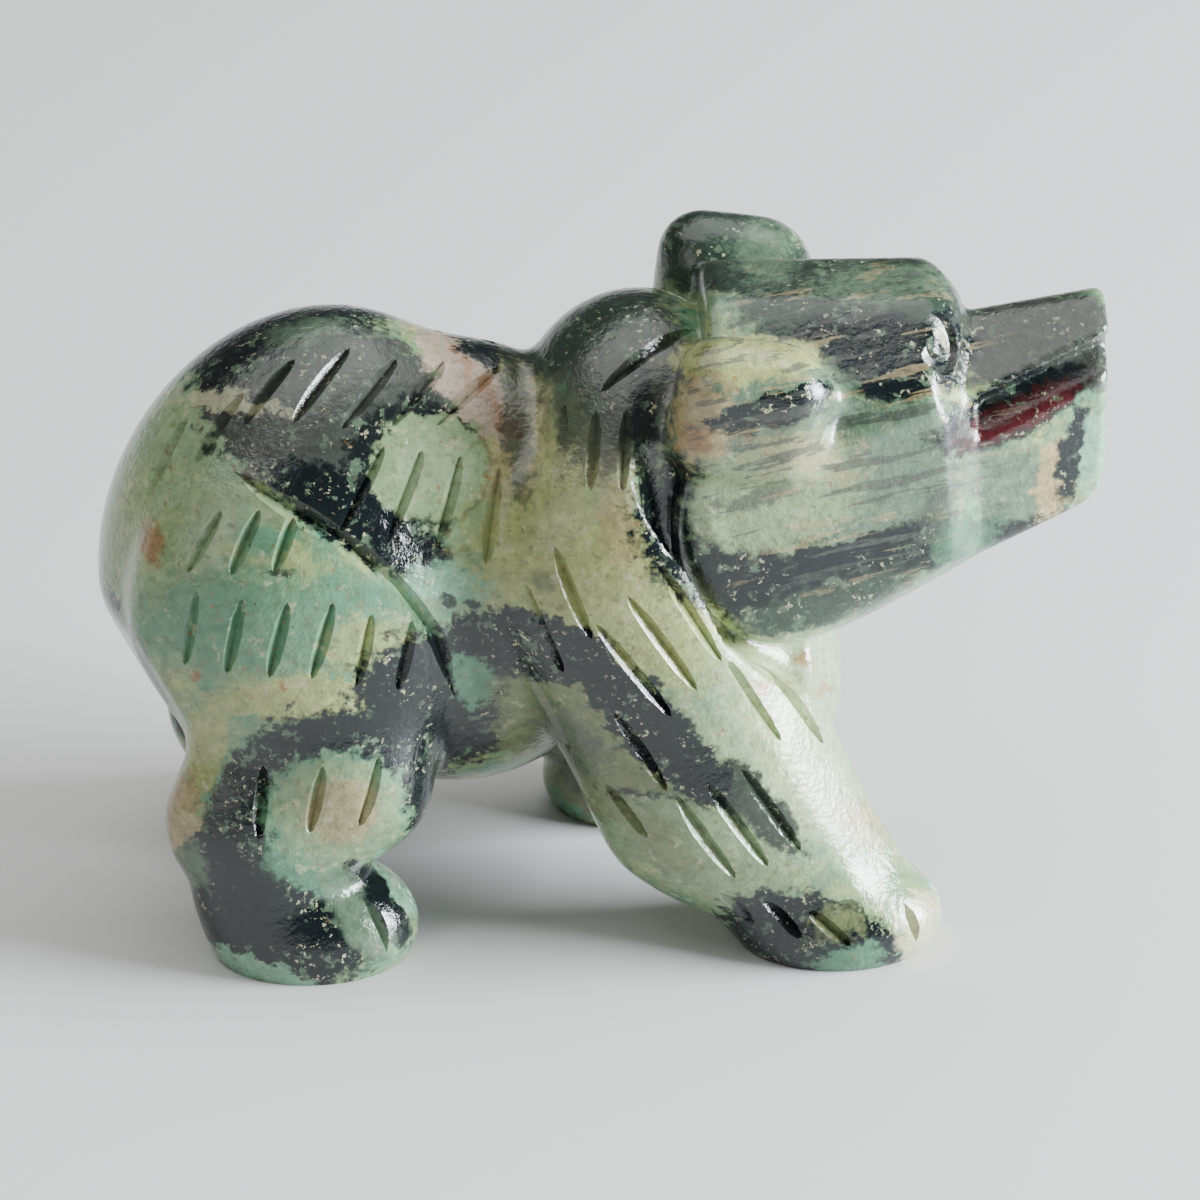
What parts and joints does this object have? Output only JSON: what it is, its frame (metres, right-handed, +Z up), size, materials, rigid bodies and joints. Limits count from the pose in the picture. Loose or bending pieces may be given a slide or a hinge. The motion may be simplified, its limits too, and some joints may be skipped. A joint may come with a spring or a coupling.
{
  "type": "stone bear carving",
  "caption": "Walking bear carved from one piece of polished green and black jasper, with raised head, square muzzle, rounded ears and short cuts for fur.",
  "frame": {"origin": "on the ground, below the middle of the bear's bounding box", "axes": "+X towards the nose, +Y towards the bear's left flank, +Z up. The bear stands on its four soles in the plane Z = 0."},
  "size_m": [0.052, 0.0231, 0.035],
  "materials": {
    "jasper": "polished stone"
  },
  "bodies": {
    "root": {"bear": "jasper"}
  },
  "joints": []
}
